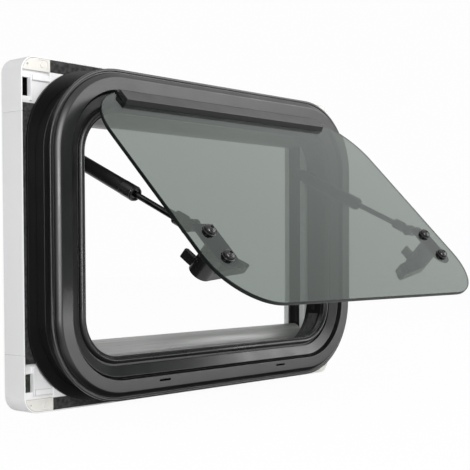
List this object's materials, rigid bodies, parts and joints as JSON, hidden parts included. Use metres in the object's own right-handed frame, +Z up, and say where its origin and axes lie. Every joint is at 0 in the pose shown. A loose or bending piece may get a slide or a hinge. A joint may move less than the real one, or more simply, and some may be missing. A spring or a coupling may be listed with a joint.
{
  "type": "caravan window",
  "caption": "Top-hung caravan window with a tinted flap on telescopic stays, turn latches, a black outer frame and a white inner frame with blind and flyscreen",
  "frame": {"origin": "middle of the lower run of the outer flange's back face, where it lies on the caravan's wall", "axes": "+X to the right along the wall as seen from outside, +Y into the caravan, +Z up"},
  "size_m": [0.527, 0.3133, 0.382],
  "materials": {
    "black_moulding": "satin moulded plastic",
    "black_rubber": "matt black rubber",
    "tinted_pane": "grey-green tinted acrylic, clear and glossy",
    "white_moulding": "satin white plastic",
    "beige_moulding": "matt beige plastic",
    "black_foam": "soft black foam",
    "grey_bar": "satin grey coated bar",
    "screen_mesh": "folded grey-green mesh",
    "steel_rod": "dark satin steel"
  },
  "bodies": {
    "frame": {"outer_frame": "black_moulding", "window_seal": "black_rubber", "clamp_ring": "black_moulding", "hinge_rail": "black_moulding", "inner_frame_top": "white_moulding", "inner_frame_bottom": "white_moulding", "foam_strips": "black_foam", "corner_inserts": "beige_moulding", "blind_bar": "grey_bar", "flyscreen_bar": "grey_bar", "blind_pack": "black_rubber", "flyscreen_pack": "screen_mesh", "inner_frame_left": "white_moulding", "left_blind_channel": "black_moulding", "left_stay_mount": "black_moulding", "left_jamb_keeper": "black_moulding", "left_corner_strip": "black_foam", "inner_corner_top_left": "white_moulding", "inner_corner_bottom_left": "white_moulding", "inner_frame_right": "white_moulding", "right_blind_channel": "black_moulding", "right_stay_mount": "black_moulding", "right_jamb_keeper": "black_moulding", "right_corner_strip": "black_foam", "inner_corner_top_right": "white_moulding", "inner_corner_bottom_right": "white_moulding"},
    "flap": {"pane": "tinted_pane", "hinge_profile": "black_moulding", "cap_screws": "black_moulding", "screw_washers": "black_rubber", "left_bracket": "black_moulding", "right_bracket": "black_moulding"},
    "left_tube": {"left_stay_tube": "black_moulding", "left_stay_collar": "black_moulding"},
    "left_rod": {"left_stay_rod": "steel_rod", "left_rod_fitting": "black_moulding"},
    "left_lever": {"left_latch": "black_moulding"},
    "right_tube": {"right_stay_tube": "black_moulding", "right_stay_collar": "black_moulding"},
    "right_rod": {"right_stay_rod": "steel_rod", "right_rod_fitting": "black_moulding"},
    "right_lever": {"right_latch": "black_moulding"}
  },
  "joints": [
    {"name": "flap_hinge", "type": "hinge", "parent": "frame", "child": "flap", "pos_m": [0, -0.01155, 0.33285], "axis": [1, 0, 0], "range_deg": [0, 45.6]},
    {"name": "left_tube_hinge", "type": "hinge", "parent": "frame", "child": "left_tube", "pos_m": [-0.195, 0.035, 0.2644], "axis": [1, 0, 0], "range_deg": [0, 51.49]},
    {"name": "left_rod_slide", "type": "slide", "parent": "left_tube", "child": "left_rod", "axis": [0, -0.9152, -0.4031], "range_m": [-0.06197, 0]},
    {"name": "left_latch_turn", "type": "hinge", "parent": "flap", "child": "left_lever", "pos_m": [-0.192, -0.17807, 0.16559], "axis": [0, -0.6997, 0.7145], "range_deg": [-19, 71]},
    {"name": "right_tube_hinge", "type": "hinge", "parent": "frame", "child": "right_tube", "pos_m": [0.195, 0.035, 0.2644], "axis": [1, 0, 0], "range_deg": [0, 51.49]},
    {"name": "right_rod_slide", "type": "slide", "parent": "right_tube", "child": "right_rod", "axis": [0, -0.9152, -0.4031], "range_m": [-0.06197, 0]},
    {"name": "right_latch_turn", "type": "hinge", "parent": "flap", "child": "right_lever", "pos_m": [0.192, -0.17807, 0.16559], "axis": [0, 0.6997, -0.7145], "range_deg": [0, 90]}
  ],
  "couplings": [
    {"joint": "left_tube_hinge", "follows": "flap_hinge", "ratio": 1.129},
    {"joint": "left_rod_slide", "follows": "flap_hinge", "m_per_rad": -0.077859},
    {"joint": "right_tube_hinge", "follows": "flap_hinge", "ratio": 1.129},
    {"joint": "right_rod_slide", "follows": "flap_hinge", "m_per_rad": -0.077859}
  ]
}
